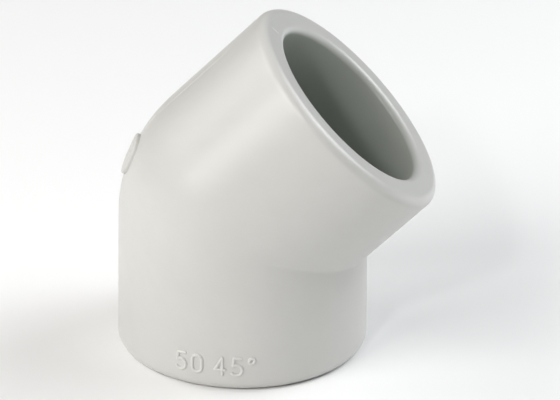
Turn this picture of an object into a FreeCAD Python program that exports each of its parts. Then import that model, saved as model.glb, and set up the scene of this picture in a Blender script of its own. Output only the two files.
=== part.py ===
"""45 degree pipe elbow with a plain socket at each end, moulded in one piece.

Millimetres. The lower socket stands on the XY plane with its mouth centred on the origin and its
axis along +Z. The upper socket leans towards +X. The part is its own mirror image across XZ, apart
from the raised size mark on the -Y side.
"""

import FreeCAD, Part

import math
import os

# ---- driving dimensions ------------------------------------------------------------------
pipe_diameter = 50.0        # outside diameter of the pipe that is cemented into each socket
pipe_clearance = 0.1        # gap between the pipe and the socket wall, all round
socket_depth = 28.8         # mouth to pipe stop
stop_from_centre = 12.35    # pipe stop to the crossing of the two axes
socket_wall = 8.45          # wall outside the socket, at its inner end
mouth_flare = 0.25          # extra outside radius at the mouth, from the mould's draft
stop_ledge = 3.1            # how far the pipe stop stands in from the socket wall
bend_angle = 45.0           # turn of the flow
bend_radius = 11.2          # radius that the centreline is bent to
rim_round = 2.8             # rounding of the mouth's outer edge
entry_round = 2.0           # rounding that leads the pipe into the socket
stop_round = 0.6            # rounding of the pipe stop's inner edge

gate_diameter = 11.6        # raised disc left by the moulding gate, outside the bend
gate_height = 1.0           # how far the disc stands out of the wall

mark_words = ["50", "45°"]  # raised figures: pipe size in mm, then angle; 0, 4, 5 and ° are drawn
mark_height = 0.45          # how far the figures stand out of the wall
mark_stroke = 0.9           # width of a stroke
digit_height = 5.8
digit_width = 3.6
degree_width = 2.4
digit_gap = 1.0             # between two figures of a word
word_gap = 2.8
mark_foot = 4.5             # bottom of the figures above the mouth
mark_turn = -9.5            # middle of the mark, in degrees about +Z from the -Y side
mark_root = 0.3             # depth below the wall that the strokes are cut off from

# ---- worked out from them ----------------------------------------------------------------
socket_radius = pipe_diameter / 2 + pipe_clearance
body_radius = socket_radius + socket_wall
waterway_radius = socket_radius - stop_ledge
mouth_radius = body_radius + mouth_flare
centre_to_mouth = socket_depth + stop_from_centre
half_angle = math.radians(bend_angle / 2)
bend_start = centre_to_mouth - bend_radius * math.tan(half_angle)
far = 2 * (centre_to_mouth + mouth_radius)      # longer than the part

V = FreeCAD.Vector
X, Y, Z = V(1, 0, 0), V(0, 1, 0), V(0, 0, 1)
ORIGIN = V(0, 0, 0)
centre = Z * centre_to_mouth                                # where the two axes cross
inward = V(math.cos(half_angle), 0, -math.sin(half_angle))  # halves the angle inside the bend
bend_axis_point = V(bend_radius, 0, bend_start)             # the bend's own axis runs along Y here


def to_upper(thing):
    """A copy of a shape or point of the lower socket, turned over to the upper one."""
    if isinstance(thing, V):
        return centre + FreeCAD.Rotation(inward, 180).multVec(thing - centre)
    copy = thing.copy()
    copy.rotate(centre, inward, 180)
    return copy


def is_circle(edge, radius, middle):
    """Does this edge lie on the circle with this radius and centre?"""
    if edge.Degenerated or not isinstance(edge.Curve, Part.Circle):
        return False
    same_radius = abs(edge.Curve.Radius - radius) < 1e-4
    return same_radius and edge.Curve.Center.distanceToPoint(middle) < 1e-4


def round_circle(solid, radius, middle, rounding):
    """The solid with a fillet along one of its circular edges."""
    edges = [edge for edge in solid.Edges if is_circle(edge, radius, middle)]
    return solid.makeFillet(rounding, edges)


def mitre_block():
    """Everything on the lower socket's side of the mitre plane, which halves the bend."""
    block = Part.makeBox(2 * far, 2 * far, far, V(-far, -far, -far))
    block.rotate(ORIGIN, Y, bend_angle / 2)
    block.translate(centre)
    return block


def bend_sector(radius):
    """The outer side of the bend: part of a disc, swept about the bend's axis."""
    chord = math.sqrt(radius**2 - bend_radius**2)
    ends = [V(bend_radius, chord, bend_start), V(bend_radius, -chord, bend_start)]
    arc = Part.Arc(ends[0], V(-radius, 0, bend_start), ends[1]).toShape()
    disc = Part.Face(Part.Wire([arc, Part.makeLine(ends[1], ends[0])]))
    return disc.revolve(bend_axis_point, Y, bend_angle)


def bend_wedge():
    """The space that the bend's outer side turns through, out past the wall."""
    lower_edge = bend_axis_point - X * far
    upper_edge = bend_axis_point - FreeCAD.Rotation(Y, bend_angle).multVec(X * far)
    corners = [bend_axis_point, lower_edge, upper_edge, bend_axis_point]
    outline = Part.makePolygon([corner - Y * far for corner in corners])
    return Part.Face(outline).extrude(Y * 2 * far)


def elbow(lower_leg, radius):
    """Two equal legs joined at the mitre, with the corner outside the bend rounded off."""
    lower = lower_leg.common(mitre_block())
    legs = lower.fuse(to_upper(lower)).cut(bend_wedge())
    return legs.fuse(bend_sector(radius)).removeSplitter().Solids[0]


def outer_leg():
    """Outside of the lower socket, drafted as far as the bend, then straight past the mitre."""
    drafted = Part.makeCone(mouth_radius, body_radius, bend_start)
    drafted = round_circle(drafted, mouth_radius, ORIGIN, rim_round)
    return drafted.fuse(Part.makeCylinder(body_radius, far, Z * bend_start))


def elbow_body():
    """The moulding: its outside, two sockets, two pipe stops and the waterway between them."""
    outside = elbow(outer_leg(), body_radius)
    waterway = elbow(Part.makeCylinder(waterway_radius, far), waterway_radius)
    socket = Part.makeCylinder(socket_radius, far + socket_depth, -Z * far)
    body = outside.cut([waterway, socket, to_upper(socket)]).Solids[0]
    stop = Z * socket_depth
    for mouth_middle, stop_middle in ((ORIGIN, stop), (to_upper(ORIGIN), to_upper(stop))):
        body = round_circle(body, socket_radius, mouth_middle, entry_round)
        body = round_circle(body, waterway_radius, stop_middle, stop_round)
    return body


def gate_vestige():
    """Low round boss outside the bend, where the plastic was fed into the mould."""
    disc = Part.makeCylinder(gate_diameter / 2, far, bend_axis_point, -inward)
    disc = disc.common(bend_sector(body_radius + gate_height))
    return disc.cut(bend_sector(body_radius)).Solids[0]


def open_stroke(*edges):
    """A flat stroke with round ends, along a path of lines and curves."""
    path = Part.Wire([edge.toShape() for edge in edges])
    return Part.Face(path.makeOffset2D(mark_stroke / 2, 0, False, False))


def closed_stroke(*edges):
    """A flat stroke along a closed path."""
    path = Part.Wire([edge.toShape() for edge in edges])
    outer, inner = (path.makeOffset2D(side * mark_stroke / 2) for side in (1, -1))
    return Part.Face(outer).cut(Part.Face(inner))


def figure(character):
    """The faces of one figure's strokes: x across from its middle, y up from its foot."""
    half = (digit_width - mark_stroke) / 2
    foot = mark_stroke / 2
    top = digit_height - foot
    height = top - foot
    if character == "0":
        low, high = foot + half, top - half
        sides = [Part.LineSegment(V(x, low), V(x, high)) for x in (-half, half)]
        ends = [
            Part.Arc(V(-half, high), V(0, top), V(half, high)),
            Part.Arc(V(-half, low), V(0, foot), V(half, low)),
        ]
        return [closed_stroke(sides[0], ends[0], sides[1], ends[1])]
    if character == "4":
        stem = half * 0.45
        crossbar = foot + height * 0.3
        slope = Part.LineSegment(V(stem, top), V(-half, crossbar))
        bar = Part.LineSegment(V(-half, crossbar), V(half, crossbar))
        upright = Part.LineSegment(V(stem, foot), V(stem, top))
        return [open_stroke(slope, bar), open_stroke(upright, slope)]
    if character == "5":
        neck = V(-half * 0.8, foot + height * 0.56)
        bowl = Part.Arc(neck, V(half, foot + height * 0.3), V(-half, foot + height * 0.1))
        head = Part.LineSegment(V(half * 0.85, top), V(-half * 0.65, top))
        side = Part.LineSegment(V(-half * 0.65, top), neck)
        return [open_stroke(head, side, bowl)]
    if character != "°":
        raise ValueError("no strokes are drawn for " + character)
    radius = (degree_width - mark_stroke) / 2
    left, right = V(-radius, top - radius), V(radius, top - radius)
    upper_half = Part.Arc(left, V(0, top), right)
    lower_half = Part.Arc(left, V(0, top - 2 * radius), right)
    return [closed_stroke(upper_half, lower_half)]


def angle_mark():
    """Raised figures on the lower socket's front, each one following the wall."""
    skin = Part.makeCone(mouth_radius + mark_height, body_radius + mark_height, bend_start)
    skin = skin.cut(Part.makeCone(mouth_radius, body_radius, bend_start))
    widths = {"°": degree_width}
    places = []
    x = 0.0
    for word in mark_words:
        for character in word:
            width = widths.get(character, digit_width)
            places.append((character, x + width / 2))
            x += width + digit_gap
        x += word_gap - digit_gap
    middle = (x - word_gap) / 2
    figures = []
    for character, place in places:
        turn = mark_turn + math.degrees((place - middle) / mouth_radius)
        strokes = [
            face.extrude(Z * (mark_root + mouth_flare + 2 * mark_height))
            for face in figure(character)
        ]
        solid = strokes[0].multiFuse(strokes[1:]).removeSplitter() if strokes[1:] else strokes[0]
        solid.rotate(ORIGIN, X, 90)
        solid.translate(V(0, mark_root - body_radius, mark_foot))
        solid.rotate(ORIGIN, Z, turn)
        figures.append(solid.common(skin).Solids[0])
    return Part.makeCompound(figures)


os.makedirs("parts", exist_ok=True)
elbow_body().exportStep("parts/elbow_body.step")
gate_vestige().exportStep("parts/gate_vestige.step")
angle_mark().exportStep("parts/angle_mark.step")
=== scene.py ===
"""A 45 degree PVC pipe elbow with two cement sockets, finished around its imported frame.

Metres, in the frame's own axes: the lower socket's mouth is centred on the origin and stands on
the floor, its axis runs up +Z, and the upper socket leans towards +X.
"""

import math
from collections import namedtuple

import bpy
from mathutils import Matrix, Vector


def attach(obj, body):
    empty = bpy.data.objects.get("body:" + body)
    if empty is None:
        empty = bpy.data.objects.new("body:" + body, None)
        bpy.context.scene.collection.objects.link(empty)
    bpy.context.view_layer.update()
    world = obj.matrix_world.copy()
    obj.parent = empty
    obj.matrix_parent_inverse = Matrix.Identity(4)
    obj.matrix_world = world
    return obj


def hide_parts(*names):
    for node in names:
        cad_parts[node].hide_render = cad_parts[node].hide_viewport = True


MM = 0.001
DEG = math.pi / 180

# ---- sizes of the moulding ---------------------------------------------------------------
BEND_ANGLE = 45 * DEG
SOCKET_RADIUS = 25.1 * MM
BODY_RADIUS = 33.55 * MM
MOUTH_FLARE = 0.25 * MM          # extra outside radius at the mouth, from the mould's draft
WATERWAY_RADIUS = 22.0 * MM
SOCKET_DEPTH = 28.8 * MM
CENTRE_TO_MOUTH = 41.15 * MM
BEND_RADIUS = 11.2 * MM
RIM_ROUND = 2.8 * MM
ENTRY_ROUND = 2.0 * MM
STOP_ROUND = 0.6 * MM
STOP_FOOT_ROUND = 0.35 * MM      # between the socket wall and the pipe stop
CREASE_ROUND = 1.5 * MM
CREASE_SOFTNESS = 0.4 * MM       # how gradually the crease's rounding takes over from the bend

GATE_RADIUS = 5.8 * MM
GATE_HEIGHT = 1.0 * MM
GATE_EDGE_ROUND = 0.48 * MM
GATE_TORN_RADIUS = 1.3 * MM      # the torn spot in the middle of the disc
GATE_TORN_DEPTH = 0.3 * MM       # the most that the tearing could range over

PARTING_PROUD = 0.07 * MM
PARTING_SUNK = 0.05 * MM         # how far it lies below the skin on the roundings
PARTING_BEAD = 0.20 * MM         # radius of the bead that it is made of
PARTING_WANDER = 0.22 * MM       # the most that it could stray to either side

MARK_WORDS = ("50", "45°")       # pipe size in mm, then the angle
DIGIT_HEIGHT = 5.8 * MM
DIGIT_WIDTH = 3.6 * MM
DEGREE_WIDTH = 2.4 * MM
STROKE_WIDTH = 0.9 * MM
DIGIT_GAP = 1.0 * MM
WORD_GAP = 2.8 * MM
MARK_FOOT = 4.5 * MM
MARK_TURN = -9.5 * DEG

HALF = BEND_ANGLE / 2
MOUTH_RADIUS = BODY_RADIUS + MOUTH_FLARE
BEND_START = CENTRE_TO_MOUTH - BEND_RADIUS * math.tan(HALF)
CENTRE = Vector((0, 0, CENTRE_TO_MOUTH))                        # where the two axes cross
INWARD = Vector((math.cos(HALF), 0, -math.sin(HALF)))           # halves the angle inside the bend
MITRE_NORMAL = Vector((math.sin(HALF), 0, math.cos(HALF)))
BEND_AXIS = Vector((BEND_RADIUS, 0, BEND_START))                # the bend's own axis runs along Y here

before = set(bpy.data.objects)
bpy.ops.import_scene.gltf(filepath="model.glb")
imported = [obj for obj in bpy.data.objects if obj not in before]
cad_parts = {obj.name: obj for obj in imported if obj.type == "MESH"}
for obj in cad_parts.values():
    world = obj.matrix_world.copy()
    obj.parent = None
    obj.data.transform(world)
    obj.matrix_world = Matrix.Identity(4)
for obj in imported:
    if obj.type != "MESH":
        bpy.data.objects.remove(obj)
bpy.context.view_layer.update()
collection = bpy.context.scene.collection


# ---- node trees --------------------------------------------------------------------------
class Field:
    """A value in a node tree, which arithmetic can be written on."""

    def __init__(self, tree, socket):
        self.tree = tree
        self.socket = socket

    def math(self, operation, *others, clamp=False):
        node = self.tree.nodes.new("ShaderNodeMath")
        node.operation = operation
        node.use_clamp = clamp
        for value, socket in zip((self, *others), node.inputs):
            feed(self.tree, value, socket)
        return Field(self.tree, node.outputs[0])

    def __add__(self, other):
        return self.math("ADD", other)

    def __sub__(self, other):
        return self.math("SUBTRACT", other)

    def __rsub__(self, other):
        return (self * -1) + other

    def __mul__(self, other):
        return self.math("MULTIPLY", other)

    def __truediv__(self, other):
        return self.math("DIVIDE", other)

    def cos(self):
        return self.math("COSINE")

    def sin(self):
        return self.math("SINE")

    def tan(self):
        return self.math("TANGENT")

    def sqrt(self):
        return self.math("SQRT")


def feed(tree, value, socket):
    """Link a Field into a socket, or set the socket to a plain value."""
    if isinstance(value, Field):
        tree.links.new(value.socket, socket)
    else:
        socket.default_value = value


def node(tree, kind, settings=None, **inputs):
    """A new node, with its settings made and its named inputs fed."""
    made = tree.nodes.new(kind)
    for name, value in (settings or {}).items():
        setattr(made, name, value)
    for name, value in inputs.items():
        feed(tree, value, made.inputs[name.replace("_", " ")])
    return made


def out(made, name=0):
    """One output of a node, as a Field."""
    return Field(made.id_data, made.outputs[name])


def new_tree(name, kind, inputs, outputs):
    """A node group with named sockets: {name: (socket kind, default)}. Returns it and its inputs."""
    tree = bpy.data.node_groups.new(name, kind)
    for label, (socket_kind, default) in inputs.items():
        socket = tree.interface.new_socket(label, in_out="INPUT", socket_type=socket_kind)
        if default is not None:
            socket.default_value = default
    for label, socket_kind in outputs.items():
        tree.interface.new_socket(label, in_out="OUTPUT", socket_type=socket_kind)
    entry = tree.nodes.new("NodeGroupInput")
    return tree, {label: Field(tree, entry.outputs[label]) for label in inputs}


def vector_math(tree, operation, *vectors, **inputs):
    """The result of a vector node, with its vectors fed in order."""
    made = node(tree, "ShaderNodeVectorMath", {"operation": operation}, **inputs)
    for value, socket in zip(vectors, made.inputs):
        feed(tree, value, socket)
    return out(made)


def noise(tree, vector, scale, detail=2.0, distortion=0.0):
    """Smooth noise between about 0 and 1."""
    settings = {"Vector": vector, "Scale": scale, "Detail": detail, "Distortion": distortion}
    return out(node(tree, "ShaderNodeTexNoise", **settings))


def mixed(tree, factor, first, second, blend="MIX"):
    """Two colours mixed by a factor. A Mix node's colour sockets can only be told apart by place."""
    mix = node(tree, "ShaderNodeMix", {"data_type": "RGBA", "blend_type": blend}, Factor=factor)
    first_place, second_place, result_place = 6, 7, 2
    feed(tree, first, mix.inputs[first_place])
    feed(tree, second, mix.inputs[second_place])
    return out(mix, result_place)


def attribute(tree, name):
    """A named number stored on a mesh."""
    return out(node(tree, "GeometryNodeInputNamedAttribute", {"data_type": "FLOAT"}, Name=name))


def geometry_rule(name, lengths, around=None):
    """A geometry tree that takes a seed mesh, named lengths and a material. Returns it and its inputs."""
    sockets = {"Geometry": ("NodeSocketGeometry", None)}
    sockets.update({label: ("NodeSocketFloat", value) for label, value in lengths.items()})
    if around:
        sockets["Around"] = ("NodeSocketInt", around)
    sockets["Material"] = ("NodeSocketMaterial", None)
    return new_tree(name, "GeometryNodeTree", sockets, {"Geometry": "NodeSocketGeometry"})


def swept_round(tree, given):
    """The seed's line swept once round an axis. Each point keeps its angle, for the rule that places it."""
    circle = node(tree, "GeometryNodeCurvePrimitiveCircle", Resolution=given["Around"], Radius=1.0)
    factor = out(tree.nodes.new("GeometryNodeSplineParameter"), "Factor")
    angled = node(
        tree,
        "GeometryNodeStoreNamedAttribute",
        {"data_type": "FLOAT", "domain": "POINT"},
        Geometry=out(circle),
        Name="angle",
        Value=factor * (2 * math.pi),
    )
    profile = node(tree, "GeometryNodeMeshToCurve", Mesh=given["Geometry"])
    return out(node(tree, "GeometryNodeCurveToMesh", Curve=out(angled), Profile_Curve=out(profile)))


def even_line(tree, geometry, spacing):
    """Bare edges as curves with evenly spaced points."""
    lines = node(tree, "GeometryNodeMeshToCurve", Mesh=geometry)
    even = node(tree, "GeometryNodeResampleCurve", {"mode": "LENGTH"}, Curve=out(lines), Length=spacing)
    return out(even)


def bead_along(tree, curve, radius, sides):
    """A round bead along a curve, closed at its ends."""
    ring = node(tree, "GeometryNodeCurvePrimitiveCircle", Resolution=sides, Radius=radius)
    bead = node(tree, "GeometryNodeCurveToMesh", Curve=curve, Profile_Curve=out(ring), Fill_Caps=True)
    return out(bead)


def finish_tree(tree, geometry, material):
    """End a geometry tree: real geometry, smooth shading and its material."""
    real = node(tree, "GeometryNodeRealizeInstances", Geometry=geometry)
    smooth = node(tree, "GeometryNodeSetShadeSmooth", Geometry=out(real))
    dressed = node(tree, "GeometryNodeSetMaterial", Geometry=out(smooth), Material=material)
    end = tree.nodes.new("NodeGroupOutput")
    tree.links.new(dressed.outputs[0], end.inputs[0])


def grow(name, seed_mesh, tree, values, voxel=None):
    """Run a geometry tree on a mesh and keep the result as a plain object.

    If a voxel size is given, what overlaps is blended into one skin of about that fineness.
    """
    seed = bpy.data.objects.new(name + "_seed", seed_mesh)
    collection.objects.link(seed)
    modifier = seed.modifiers.new("grow", "NODES")
    modifier.node_group = tree
    for item in tree.interface.items_tree:
        if item.in_out == "INPUT" and item.name in values:
            modifier[item.identifier] = values[item.name]
    if voxel:
        remesh = seed.modifiers.new("blend", "REMESH")
        remesh.mode = "VOXEL"
        remesh.voxel_size = voxel
        remesh.use_smooth_shade = True
        soften = seed.modifiers.new("soften", "SMOOTH")
        soften.factor = 0.5
        soften.iterations = 4
    evaluated = seed.evaluated_get(bpy.context.evaluated_depsgraph_get())
    mesh = bpy.data.meshes.new_from_object(evaluated)
    seed.modifiers.clear()
    bpy.data.objects.remove(seed)
    if voxel:
        mesh.materials.clear()
        mesh.materials.append(values["Material"])
    piece = bpy.data.objects.new(name, mesh)
    mesh.name = name
    collection.objects.link(piece)
    return piece


# ---- the shell ---------------------------------------------------------------------------
def bent_place(tree, given):
    """Where a point of the wall lies, worked out from the numbers stored on it."""
    v = attribute(tree, "angle")
    radius = attribute(tree, "wall_radius")
    half = given["Bend Angle"] * 0.5
    inner = radius * v.cos()                    # how far this line lies towards the inside of the bend
    gap = given["Bend Radius"] - inner - given["Crease Round"]
    turn_radius = (gap + (gap * gap + CREASE_SOFTNESS**2).sqrt()) * 0.5 + given["Crease Round"]
    bend_from = given["Centre To Mouth"] - (inner + turn_radius) * half.tan()
    inset = attribute(tree, "inset")
    height = inset + attribute(tree, "share") * (bend_from - inset)
    drafted_length = given["Centre To Mouth"] - given["Bend Radius"] * half.tan()
    draft = (1.0 - height / drafted_length).math("MAXIMUM", 0.0)
    wall = radius + attribute(tree, "drafted") * given["Mouth Flare"] * draft
    turned = attribute(tree, "turn") * given["Bend Angle"]
    x = wall * v.cos() + turn_radius * (1.0 - turned.cos())
    y = wall * v.sin()
    z = height + turn_radius * turned.sin()

    across = x * half.sin() + (z - given["Centre To Mouth"]) * half.cos()   # distance past the mitre
    mirrored = attribute(tree, "upper") * across * -2.0
    x = x + mirrored * half.sin()
    z = z + mirrored * half.cos()
    return out(node(tree, "ShaderNodeCombineXYZ", X=x, Y=y, Z=z))


BEND_SOCKETS = {
    "Centre To Mouth": CENTRE_TO_MOUTH,
    "Bend Angle": BEND_ANGLE,
    "Bend Radius": BEND_RADIUS,
    "Crease Round": CREASE_ROUND,
    "Mouth Flare": MOUTH_FLARE,
}


def elbow_rule():
    """Geometry tree: sweeps a half profile's loop round the pipe's axis and bends it at the mitre.

    Each point of the profile says how far in from the mouth it lies (inset), what share of the
    way it has gone from there to the bend (share), how much of the bend it has turned through
    (turn), its radius, whether the wall there is drafted, how far it counts as inside the bore
    (inside, which only the material reads, as the mask of its painted shade in the bore), and
    whether it's on the upper socket.
    """
    tree, given = geometry_rule("elbow_rule", BEND_SOCKETS, around=192)
    swept = swept_round(tree, given)
    moved = node(tree, "GeometryNodeSetPosition", Geometry=swept, Position=bent_place(tree, given))
    finish_tree(tree, out(moved), given["Material"])
    return tree


WallPoint = namedtuple("WallPoint", "inset share turn wall_radius drafted inside")
WALL_NUMBERS = (*WallPoint._fields, "upper")


def quarter(count, centre_inset, centre_radius, rounding, start, end):
    """Points (inset, radius) along a rounding, from one angle to another in degrees."""
    points = []
    for step in range(count + 1):
        turn = (start + (end - start) * step / count) * DEG
        points.append(
            (centre_inset + rounding * math.cos(turn), centre_radius + rounding * math.sin(turn))
        )
    return points


def half_profile():
    """The shell from the middle of the bend to the mouth, outside and then inside, point by point."""
    half = []
    outer_bend_rows, outer_rows, bore_rows, waterway_rows, inner_bend_rows = 14, 22, 12, 6, 10

    def add(*numbers):
        half.append(WallPoint(*numbers))

    for step in range(outer_bend_rows, 0, -1):
        add(RIM_ROUND, 1, 0.5 * step / outer_bend_rows, BODY_RADIUS, 1, 0)
    for step in range(outer_rows, 0, -1):
        add(RIM_ROUND, step / outer_rows, 0, BODY_RADIUS, 1, 0)
    draft = math.atan(MOUTH_FLARE / BEND_START)
    flat_outer = MOUTH_RADIUS - RIM_ROUND * (math.tan(draft) + 1 / math.cos(draft))
    for inset, radius in quarter(12, RIM_ROUND, flat_outer, RIM_ROUND, 90 - draft / DEG, 180):
        add(inset, 0, 0, radius, 0, 0)
    flat_inner = SOCKET_RADIUS + ENTRY_ROUND
    for share in (0.25, 0.5, 0.75):
        add(0, 0, 0, flat_outer + (flat_inner - flat_outer) * share, 0, 0)
    for inset, radius in quarter(10, ENTRY_ROUND, flat_inner, ENTRY_ROUND, 180, 270):
        # inside rises over the entry rounding; the material uses it as the mask of the painted shade in the
        # bore
        add(inset, 0, 0, radius, 0, min(1.0, inset / ENTRY_ROUND))
    bore_end = SOCKET_DEPTH - STOP_FOOT_ROUND
    for step in range(1, bore_rows):
        add(ENTRY_ROUND + (bore_end - ENTRY_ROUND) * step / bore_rows, 0, 0, SOCKET_RADIUS, 0, 1)
    foot_centre = SOCKET_RADIUS - STOP_FOOT_ROUND
    for inset, radius in quarter(4, bore_end, foot_centre, STOP_FOOT_ROUND, 90, 0):
        add(inset, 0, 0, radius, 0, 1)
    ledge_end = WATERWAY_RADIUS + STOP_ROUND
    add(SOCKET_DEPTH, 0, 0, (foot_centre + ledge_end) / 2, 0, 1)
    for inset, radius in quarter(5, SOCKET_DEPTH + STOP_ROUND, ledge_end, STOP_ROUND, 180, 270):
        add(inset, 0, 0, radius, 0, 1)
    for step in range(1, waterway_rows + 1):
        add(SOCKET_DEPTH + STOP_ROUND, step / waterway_rows, 0, WATERWAY_RADIUS, 0, 1)
    for step in range(1, inner_bend_rows + 1):
        add(SOCKET_DEPTH + STOP_ROUND, 1, 0.5 * step / inner_bend_rows, WATERWAY_RADIUS, 0, 1)
    return half


def numbered_mesh(name, spots, edges, numbers):
    """A mesh of bare edges, with named numbers stored on its points."""
    mesh = bpy.data.meshes.new(name)
    mesh.from_pydata(spots, edges, [])
    for label, values in numbers.items():
        layer = mesh.attributes.new(label, "FLOAT", "POINT")
        layer.data.foreach_set("value", values)
    return mesh


def shell_profile():
    """The closed line that the shell is swept from."""
    half = half_profile()
    loop = [(*point, 0) for point in half] + [(*point, 1) for point in reversed(half[1:-1])]
    count = len(loop)
    turns = [2 * math.pi * i / count for i in range(count)]
    spots = [(math.cos(turn), math.sin(turn), 0) for turn in turns]
    edges = [(i, (i + 1) % count) for i in range(count)]
    numbers = {label: [point[i] for point in loop] for i, label in enumerate(WALL_NUMBERS)}
    return numbered_mesh("shell_profile", spots, edges, numbers)


# ---- the raised figures ------------------------------------------------------------------
def arc_points(first, middle, last, count=14):
    """Points along the circle through three points, the two ends included."""
    ax, ay = first
    bx, by = middle
    cx, cy = last
    d = 2 * (ax * (by - cy) + bx * (cy - ay) + cx * (ay - by))
    a2, b2, c2 = ax**2 + ay**2, bx**2 + by**2, cx**2 + cy**2
    ox = (a2 * (by - cy) + b2 * (cy - ay) + c2 * (ay - by)) / d
    oy = (a2 * (cx - bx) + b2 * (ax - cx) + c2 * (bx - ax)) / d
    radius = math.hypot(ax - ox, ay - oy)
    start, mid, end = (math.atan2(y - oy, x - ox) for x, y in (first, middle, last))
    sweep = (end - start) % (2 * math.pi)
    if (mid - start) % (2 * math.pi) > sweep:
        sweep -= 2 * math.pi
    turns = [start + sweep * i / count for i in range(count + 1)]
    return [(ox + radius * math.cos(turn), oy + radius * math.sin(turn)) for turn in turns]


def figure_strokes(character):
    """The middle lines of one figure's strokes: x across from its middle, y up from its foot.

    Only 0, 4, 5 and the degree ring are drawn. Any other character comes out as a ring.
    """
    half = (DIGIT_WIDTH - STROKE_WIDTH) / 2
    foot = STROKE_WIDTH / 2
    top = DIGIT_HEIGHT - foot
    height = top - foot
    if character == "0":
        low, high = foot + half, top - half
        over = arc_points((-half, high), (0, top), (half, high))
        under = arc_points((half, low), (0, foot), (-half, low))
        return [over + under + over[:1]]
    if character == "4":
        stem, crossbar = half * 0.45, foot + height * 0.3
        return [[(stem, foot), (stem, top), (-half, crossbar), (half, crossbar)]]
    if character == "5":
        neck = (-half * 0.8, foot + height * 0.56)
        bowl = arc_points(neck, (half, foot + height * 0.3), (-half, foot + height * 0.1))
        return [[(half * 0.85, top), (-half * 0.65, top)] + bowl]
    ring = (DEGREE_WIDTH - STROKE_WIDTH) / 2
    over = arc_points((-ring, top - ring), (0, top), (ring, top - ring))
    under = arc_points((ring, top - ring), (0, top - 2 * ring), (-ring, top - ring))
    return [over + under[1:]]


def mark_lines():
    """All the strokes of the mark as bare edges, laid out flat with x = 0 at the mark's middle."""
    places, x = [], 0.0
    for word in MARK_WORDS:
        for character in word:
            width = DEGREE_WIDTH if character == "°" else DIGIT_WIDTH
            places.append((character, x + width / 2))
            x += width + DIGIT_GAP
        x += WORD_GAP - DIGIT_GAP
    middle = (x - WORD_GAP) / 2
    spots, edges = [], []
    for character, place in places:
        for stroke in figure_strokes(character):
            edges += [(len(spots) + i, len(spots) + i + 1) for i in range(len(stroke) - 1)]
            spots += [(px + place - middle, py, 0) for px, py in stroke]
    return numbered_mesh("mark_lines", spots, edges, {})


def wrapped_bead():
    """Geometry tree: wraps flat lines on the lower socket's wall and lays a half sunk bead along them."""
    lengths = {
        "Bead Radius": STROKE_WIDTH / 2,
        "Mouth Radius": MOUTH_RADIUS,
        "Mouth Flare": MOUTH_FLARE,
        "Drafted Length": BEND_START,
        "Foot": MARK_FOOT,
        "Turn": MARK_TURN,
        "Spacing": 0.22 * MM,
    }
    tree, given = geometry_rule("wrapped_bead", lengths)
    position = out(tree.nodes.new("GeometryNodeInputPosition"))
    flat = node(tree, "ShaderNodeSeparateXYZ", Vector=position)
    turn = given["Turn"] + out(flat, "X") / given["Mouth Radius"]
    height = given["Foot"] + out(flat, "Y")
    wall = given["Mouth Radius"] - given["Mouth Flare"] * (height / given["Drafted Length"])
    place = node(tree, "ShaderNodeCombineXYZ", X=wall * turn.sin(), Y=wall * turn.cos() * -1.0, Z=height)
    wrapped = node(tree, "GeometryNodeSetPosition", Geometry=given["Geometry"], Position=out(place))
    line = even_line(tree, out(wrapped), given["Spacing"])
    bead = bead_along(tree, line, given["Bead Radius"], 20)
    ball = node(tree, "GeometryNodeMeshIcoSphere", Radius=given["Bead Radius"], Subdivisions=3)
    ends = node(tree, "GeometryNodeInstanceOnPoints", Points=line, Instance=out(ball))
    joined = tree.nodes.new("GeometryNodeJoinGeometry")
    tree.links.new(bead.socket, joined.inputs[0])
    tree.links.new(ends.outputs[0], joined.inputs[0])
    finish_tree(tree, out(joined), given["Material"])
    return tree


# ---- the gate's scar ---------------------------------------------------------------------
def gate_profile():
    """From the middle of the gate's disc out over its edge and back in underneath it."""
    torn_middle = [(0.02, 0.80), (0.35, 0.84), (0.75, 0.96), (1.0, 0.93), (1.2, 0.74), (1.5, 0.70)]
    face = [(2.2, 0.80), (3.2, 0.86), (3.9, 0.87)]
    groove = [(4.1, 0.78), (4.35, 0.78), (4.55, 0.90), (4.9, 0.97)]
    points = [(rho * MM, lift * MM) for rho, lift in torn_middle + face + groove]
    round_rho, round_lift = GATE_RADIUS - GATE_EDGE_ROUND, GATE_HEIGHT - GATE_EDGE_ROUND
    for turn in range(0, 91, 15):
        reach, rise = math.sin(turn * DEG), math.cos(turn * DEG)
        points.append((round_rho + GATE_EDGE_ROUND * reach, round_lift + GATE_EDGE_ROUND * rise))
    points += [(GATE_RADIUS, lift * MM) for lift in (0.45, 0.2, 0.0, -0.3)]
    points += [(rho * MM, -0.5 * MM) for rho in (5.4, 3.6, 1.8, 0.02)]
    count = len(points)
    spots = [(i * MM, 0, 0) for i in range(count)]
    edges = [(i, i + 1) for i in range(count - 1)]
    numbers = {"rho": [p[0] for p in points], "lift": [p[1] for p in points]}
    return numbered_mesh("gate_profile", spots, edges, numbers)


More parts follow.
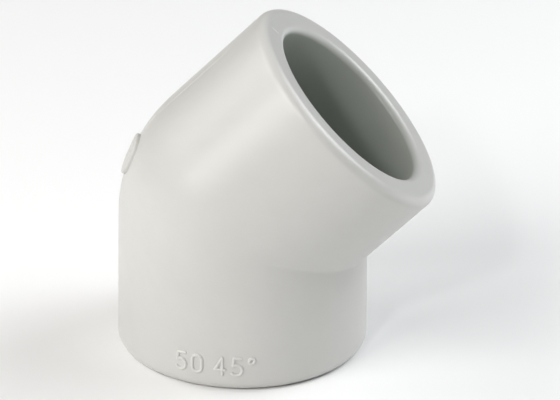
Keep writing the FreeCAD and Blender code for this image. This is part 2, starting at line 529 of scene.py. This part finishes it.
def gate_rule():
    """Geometry tree: turns the profile round the gate's middle and lays it over the bent wall."""
    lengths = {"Bend Radius": BEND_RADIUS, "Body Radius": BODY_RADIUS, "Torn Depth": GATE_TORN_DEPTH}
    tree, given = geometry_rule("gate_rule", lengths, around=128)
    swept = swept_round(tree, given)
    rho, angle = attribute(tree, "rho"), attribute(tree, "angle")
    along, across = rho * angle.cos(), rho * angle.sin()
    per_metre = 900.0
    spot = node(tree, "ShaderNodeCombineXYZ", X=along * per_metre, Y=across * per_metre, Z=0.0)
    ragged = noise(tree, out(spot), 1.6, 3.0)
    torn = (1.0 - rho / GATE_TORN_RADIUS).math("MAXIMUM", 0.0).math("MINIMUM", 1.0)
    top = attribute(tree, "lift").math("GREATER_THAN", 0.0)
    lift = attribute(tree, "lift") + (ragged - 0.5) * torn * top * given["Torn Depth"]
    tube = given["Body Radius"] + lift
    reach = given["Bend Radius"] + (tube * tube - across * across).sqrt()
    high = (reach * reach - along * along).sqrt()
    ways = []
    for axis in range(3):
        outward, tangent = -INWARD[axis], MITRE_NORMAL[axis]
        sideways = 1.0 if axis == 1 else 0.0
        ways.append(high * outward + along * tangent + across * sideways + BEND_AXIS[axis])
    place = node(tree, "ShaderNodeCombineXYZ", X=ways[0], Y=ways[1], Z=ways[2])
    moved = node(tree, "GeometryNodeSetPosition", Geometry=swept, Position=out(place))
    closed = node(tree, "GeometryNodeMergeByDistance", Geometry=out(moved), Distance=0.025 * MM)
    finish_tree(tree, out(closed), given["Material"])
    return tree


# ---- the parting line --------------------------------------------------------------------
def parting_path():
    """The line where the mould's halves met, along the outside of the bend and along the inside."""
    flat_from = SOCKET_RADIUS + ENTRY_ROUND * 1.02      # just outside the entry rounding
    flat_to = BODY_RADIUS - RIM_ROUND * 0.98            # just inside the rim rounding
    rise = 0.35         # share of the way to the bend that the line takes to come up out of the wall
    outside = [point for point in half_profile() if not point.inside and point.wall_radius > flat_from]
    lower = [point for point in reversed(outside) if point.inset >= RIM_ROUND]
    line = [(point, 0) for point in lower] + [(point, 1) for point in outside[1:]]
    spots, edges = [], []
    numbers = {label: [] for label in (*WALL_NUMBERS, "angle", "side", "proud")}
    for angle, side in ((math.pi, 1), (0, -1)):
        first = len(spots)
        for i, (point, upper) in enumerate(line):
            rim_face = point.inset < 1e-6 and point.wall_radius < flat_to
            along = 1.0 if point.turn else point.share
            on_wall = min(1.0, along / rise) if point.inset >= RIM_ROUND else 0.0
            proud = PARTING_PROUD if rim_face else PARTING_PROUD * on_wall - PARTING_SUNK * (1 - on_wall)
            for label, value in zip(numbers, (*point, upper, angle, side, proud)):
                numbers[label].append(value)
            spots.append((i * MM, side * MM, 0))
        edges += [(i, i + 1) for i in range(first, len(spots) - 1)]
    return numbered_mesh("parting_path", spots, edges, numbers)


def parting_rule():
    """Geometry tree: lays the path on the wall, sinks it and runs a thin bead along it."""
    lengths = {**BEND_SOCKETS, "Bead Radius": PARTING_BEAD, "Wander": PARTING_WANDER, "Spacing": 0.35 * MM}
    tree, given = geometry_rule("parting_rule", lengths)
    on_wall = bent_place(tree, given)
    placed = node(tree, "GeometryNodeSetPosition", Geometry=given["Geometry"], Position=on_wall)
    line = even_line(tree, out(placed), given["Spacing"])
    tangent = out(tree.nodes.new("GeometryNodeInputTangent"))
    outward = vector_math(tree, "CROSS_PRODUCT", tangent, (0, 1, 0))
    depth = (attribute(tree, "proud") - given["Bead Radius"]) * attribute(tree, "side")
    sink = vector_math(tree, "SCALE", outward, Scale=depth)
    crooked = node(tree, "ShaderNodeTexNoise", Scale=420.0, Detail=2.0)
    stray = (out(crooked) - 0.5) * given["Wander"] * 2.0
    sideways = node(tree, "ShaderNodeCombineXYZ", X=0.0, Y=stray, Z=0.0)
    offset = vector_math(tree, "ADD", sink, out(sideways))
    moved = node(tree, "GeometryNodeSetPosition", Geometry=line, Offset=offset)
    bead = bead_along(tree, out(moved), given["Bead Radius"], 12)
    finish_tree(tree, bead, given["Material"])
    return tree


# ---- effects that the materials share ----------------------------------------------------
def end_group(tree, results):
    """End a shader group with its named results."""
    end = tree.nodes.new("NodeGroupOutput")
    for label, value in results.items():
        tree.links.new(value.socket, end.inputs[label])
    return tree


def flow_marks_group():
    """Faint streaks that run out from the gate, as the melt did when it filled the mould."""
    inputs = {"Position": ("NodeSocketVector", None), "Gate": ("NodeSocketVector", None)}
    inputs["Streaks"] = ("NodeSocketFloat", 9.0)
    inputs["Wander"] = ("NodeSocketFloat", 14.0)
    tree, given = new_tree("flow_marks", "ShaderNodeTree", inputs, {"Streak": "NodeSocketFloat"})
    away = vector_math(tree, "SUBTRACT", given["Position"], given["Gate"])
    spread = vector_math(tree, "SCALE", vector_math(tree, "NORMALIZE", away), Scale=given["Streaks"])
    drift = vector_math(tree, "SCALE", away, Scale=given["Wander"])
    streak = noise(tree, vector_math(tree, "ADD", spread, drift), 1.0, 3.0)
    return end_group(tree, {"Streak": streak})


def satin_skin_group():
    """The skin of moulded plastic: soft waviness, fine grain and a sheen that isn't even."""
    inputs = {"Position": ("NodeSocketVector", None)}
    inputs["Wave Scale"] = ("NodeSocketFloat", 260.0)
    inputs["Grain Scale"] = ("NodeSocketFloat", 2600.0)
    inputs["Grain Share"] = ("NodeSocketFloat", 0.2)
    inputs["Smoothest"] = ("NodeSocketFloat", 0.285)
    inputs["Roughest"] = ("NodeSocketFloat", 0.36)
    inputs["Patch Scale"] = ("NodeSocketFloat", 60.0)
    outputs = {"Height": "NodeSocketFloat", "Roughness": "NodeSocketFloat"}
    tree, given = new_tree("satin_skin", "ShaderNodeTree", inputs, outputs)
    wave = noise(tree, given["Position"], given["Wave Scale"], 1.0)
    grain = noise(tree, given["Position"], given["Grain Scale"], 2.0)
    height = wave * (1.0 - given["Grain Share"]) + grain * given["Grain Share"]
    patches = noise(tree, given["Position"], given["Patch Scale"], 4.0, 0.4)
    unevenness = patches * 0.7 + grain * 0.3
    sheen = given["Smoothest"] + (given["Roughest"] - given["Smoothest"]) * unevenness
    return end_group(tree, {"Height": height, "Roughness": sheen})


def smears_group():
    """Soft smears left by hands and packing: long, cloudy and thinned out to patches."""
    inputs = {"Position": ("NodeSocketVector", None)}
    inputs["Scale"] = ("NodeSocketFloat", 160.0)
    inputs["Patch Scale"] = ("NodeSocketFloat", 45.0)
    inputs["Amount"] = ("NodeSocketFloat", 0.5)
    tree, given = new_tree("handling_smears", "ShaderNodeTree", inputs, {"Smear": "NodeSocketFloat"})
    stretched = node(
        tree,
        "ShaderNodeMapping",
        Vector=given["Position"],
        Rotation=(0.5, 0.9, 0.3),
        Scale=(1.0, 0.25, 0.6),
    )
    cloud = noise(tree, out(stretched), given["Scale"], 2.0)
    patches = noise(tree, given["Position"], given["Patch Scale"], 3.0)
    thinned = ((patches - 0.5) * 4.0).math("MAXIMUM", 0.0).math("MINIMUM", 1.0)
    return end_group(tree, {"Smear": cloud * thinned * given["Amount"]})


def tint_group():
    """Mixes two close shades of the plastic by its streaks and its slow mottling."""
    inputs = {"Position": ("NodeSocketVector", None), "Streak": ("NodeSocketFloat", 0.5)}
    inputs["Mottle Scale"] = ("NodeSocketFloat", 38.0)
    inputs["Shade A"] = ("NodeSocketColor", None)
    inputs["Shade B"] = ("NodeSocketColor", None)
    tree, given = new_tree("plastic_tint", "ShaderNodeTree", inputs, {"Colour": "NodeSocketColor"})
    mottle = noise(tree, given["Position"], given["Mottle Scale"], 4.0, 0.3)
    contrast = 2.2
    share = (given["Streak"] * 0.55 + mottle * 0.45 - 0.5) * contrast + 0.5
    share = share.math("ADD", 0.0, clamp=True)
    return end_group(tree, {"Colour": mixed(tree, share, given["Shade A"], given["Shade B"])})


FLOW, SKIN, SMEARS, TINT = flow_marks_group(), satin_skin_group(), smears_group(), tint_group()
GATE_MIDDLE = BEND_AXIS - INWARD * (BEND_RADIUS + BODY_RADIUS)


# ---- materials ---------------------------------------------------------------------------
def plain_material(name, colour, roughness):
    """A material with one colour and one roughness."""
    material = bpy.data.materials.new(name)
    material.use_nodes = True
    shader = material.node_tree.nodes["Principled BSDF"]
    shader.inputs["Base Color"].default_value = (*colour, 1)
    shader.inputs["Roughness"].default_value = roughness
    return material


def use_group(tree, group, position, **values):
    """An effect used in a material, with its named inputs fed."""
    made = tree.nodes.new("ShaderNodeGroup")
    made.node_tree = group
    tree.links.new(position.socket, made.inputs["Position"])
    for label, value in values.items():
        feed(tree, value, made.inputs[label.replace("_", " ")])
    return made


def pvc_material(name, shades, sheen, bump, wave=260.0, grain=0.2, smears=0.08, painted_bore_shade=None):
    """Grey PVC. Shades are its two close greys, sheen its smoothest and roughest, bump in metres.

    Wave and grain set the size of its waviness and how much of its relief is fine grain. The
    painted bore shade is painted shade: it darkens the colour of the wall inside the sockets and
    the waterway, where little light reaches.
    """
    material = plain_material(name, shades[0], sheen[0])
    tree = material.node_tree
    shader = tree.nodes["Principled BSDF"]
    position = out(tree.nodes.new("ShaderNodeTexCoord"), "Object")
    flow = use_group(tree, FLOW, position, Gate=tuple(GATE_MIDDLE))
    skin = use_group(
        tree, SKIN, position, Wave_Scale=wave, Grain_Share=grain, Smoothest=sheen[0], Roughest=sheen[1]
    )
    worn = use_group(tree, SMEARS, position, Amount=smears)
    tint = use_group(
        tree, TINT, position, Streak=out(flow, "Streak"), Shade_A=(*shades[0], 1), Shade_B=(*shades[1], 1)
    )
    colour = out(tint, "Colour")
    # Painted shade: the wall's colour is darkened inside the bore, by how far in it lies.
    if painted_bore_shade:
        inside = node(tree, "ShaderNodeAttribute", {"attribute_name": "inside"})
        colour = mixed(tree, out(inside, "Fac"), colour, (*painted_bore_shade, 1), "MULTIPLY")
    feed(tree, colour, shader.inputs["Base Color"])
    feed(tree, out(skin, "Roughness") + out(worn, "Smear"), shader.inputs["Roughness"])
    relief = node(tree, "ShaderNodeBump", Strength=1.0, Distance=bump, Height=out(skin, "Height"))
    feed(tree, out(relief), shader.inputs["Normal"])
    shader.inputs["IOR"].default_value = 1.53
    return material


moulded = pvc_material(
    "moulded_grey_pvc",
    shades=((0.585, 0.580, 0.556), (0.605, 0.600, 0.577)),
    sheen=(0.285, 0.36),
    bump=0.006 * MM,
    smears=0.05,
    # painted shade inside the sockets and the waterway
    painted_bore_shade=(0.76, 0.805, 0.77),
)
# The raised figures are the body's plastic given lighter shades, as a painted highlight on the strokes.
figure_pvc_painted_highlight = pvc_material(
    "raised_figure_pvc_painted_highlight",
    shades=((0.63, 0.625, 0.60), (0.66, 0.655, 0.63)),
    sheen=(0.29, 0.38),
    bump=0.010 * MM,
    wave=700.0,
)
sheared = pvc_material(
    "gate_scar_pvc",
    shades=((0.56, 0.555, 0.53), (0.66, 0.655, 0.635)),
    sheen=(0.34, 0.55),
    bump=0.05 * MM,
    wave=1100.0,
    grain=0.35,
)
flashed = pvc_material(
    "parting_line_pvc",
    shades=((0.63, 0.625, 0.60), (0.68, 0.675, 0.65)),
    sheen=(0.30, 0.45),
    bump=0.012 * MM,
    wave=1200.0,
    grain=0.3,
)


# ---- the pieces --------------------------------------------------------------------------
def on_the_elbow(piece, replaced=None):
    """Put a finished piece on the root body, and hide the CAD node that it stands for, if any."""
    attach(piece, "root")
    if replaced:
        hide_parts(replaced)


on_the_elbow(grow("elbow_shell", shell_profile(), elbow_rule(), {"Material": moulded}), "elbow_body")
on_the_elbow(
    grow("size_and_angle_figures", mark_lines(), wrapped_bead(), {"Material": figure_pvc_painted_highlight}, voxel=0.07 * MM),
    "angle_mark",
)
on_the_elbow(grow("gate_scar", gate_profile(), gate_rule(), {"Material": sheared}), "gate_vestige")
on_the_elbow(grow("parting_line", parting_path(), parting_rule(), {"Material": flashed}))


# ---- floor, lights and camera ------------------------------------------------------------
WARM, COOL, WHITE = (1.0, 0.982, 0.955), (0.95, 0.978, 1.0), (1, 1, 1)
STUDIO_LIGHTS = (       # name, azimuth and elevation in degrees, distance, width, watts, colour
    ("key_softbox", -49, 35, 1.0, 0.6, 6.8, WARM),
    ("left_softbox", -104, 42, 1.0, 0.6, 3.3, WARM),
    ("back_softbox", 118, 35, 1.0, 0.6, 4.7, COOL),
    ("top_softbox", 98, 45, 1.0, 0.6, 3.5, COOL),
    ("front_fill", 4, 22, 1.2, 0.5, 0.35, WHITE),
    ("front_glint", -16, 36, 1.0, 0.08, 1.3, WHITE),
)
WORLD_STRENGTH = 0.05
FLOOR_REACH = 4.0               # from the origin to each side

CAMERA_AZIMUTH = 2.74 * DEG
CAMERA_ELEVATION = 25.49 * DEG
CAMERA_ROLL = 0.44 * DEG
CAMERA_DISTANCE = 1.578
CAMERA_RIGHT = 9.99 * MM        # how far it is moved to its own right and down
CAMERA_DOWN = 0.40 * MM
CAMERA_LENS = 376.4             # in millimetres, on a sensor 36 mm wide


def direction(azimuth, elevation):
    """Unit vector from the elbow towards a place. Azimuth 0 is towards -Y and 90 degrees towards +X."""
    level = math.cos(elevation)
    return Vector((math.sin(azimuth) * level, -math.cos(azimuth) * level, math.sin(elevation)))


def make_floor():
    """A plain pale floor at the height that the elbow stands on."""
    mesh = bpy.data.meshes.new("floor")
    corners = [(x * FLOOR_REACH, y * FLOOR_REACH, 0) for x, y in ((-1, -1), (1, -1), (1, 1), (-1, 1))]
    mesh.from_pydata(corners, [], [(0, 1, 2, 3)])
    floor = bpy.data.objects.new("floor", mesh)
    collection.objects.link(floor)
    mesh.materials.append(plain_material("pale_floor", (0.90, 0.90, 0.90), 0.9))


def make_light(name, azimuth, elevation, distance, width, watts, colour):
    """A square soft light, aimed at the crossing of the two axes."""
    data = bpy.data.lights.new(name, "AREA")
    data.shape = "SQUARE"
    data.size = width
    data.energy = watts
    data.color = colour
    light = bpy.data.objects.new(name, data)
    collection.objects.link(light)
    back = direction(azimuth * DEG, elevation * DEG)
    light.location = CENTRE + back * distance
    light.rotation_mode = "QUATERNION"
    light.rotation_quaternion = (-back).to_track_quat("-Z", "Y")


def make_world():
    """Faint even light from all round."""
    world = bpy.data.worlds.new("studio")
    world.use_nodes = True
    background = world.node_tree.nodes["Background"]
    background.inputs["Color"].default_value = (1, 1, 1, 1)
    background.inputs["Strength"].default_value = WORLD_STRENGTH
    bpy.context.scene.world = world


def make_camera():
    """A long lens, a little above the elbow and nearly square to the plane of its two axes."""
    back = direction(CAMERA_AZIMUTH, CAMERA_ELEVATION)
    level = Vector((math.cos(CAMERA_AZIMUTH), math.sin(CAMERA_AZIMUTH), 0))
    upright = back.cross(level)
    right = level * math.cos(CAMERA_ROLL) + upright * math.sin(CAMERA_ROLL)
    up = upright * math.cos(CAMERA_ROLL) - level * math.sin(CAMERA_ROLL)
    data = bpy.data.cameras.new("camera")
    data.sensor_width = 36.0
    data.lens = CAMERA_LENS
    data.clip_end = 20.0
    camera = bpy.data.objects.new("camera", data)
    collection.objects.link(camera)
    camera.location = CENTRE + right * CAMERA_RIGHT - up * CAMERA_DOWN + back * CAMERA_DISTANCE
    camera.rotation_mode = "QUATERNION"
    camera.rotation_quaternion = Matrix((right, up, back)).transposed().to_quaternion()
    bpy.context.scene.camera = camera


make_floor()
for light_settings in STUDIO_LIGHTS:
    make_light(*light_settings)
make_world()
bpy.context.scene.view_settings.view_transform = "Standard"
make_camera()
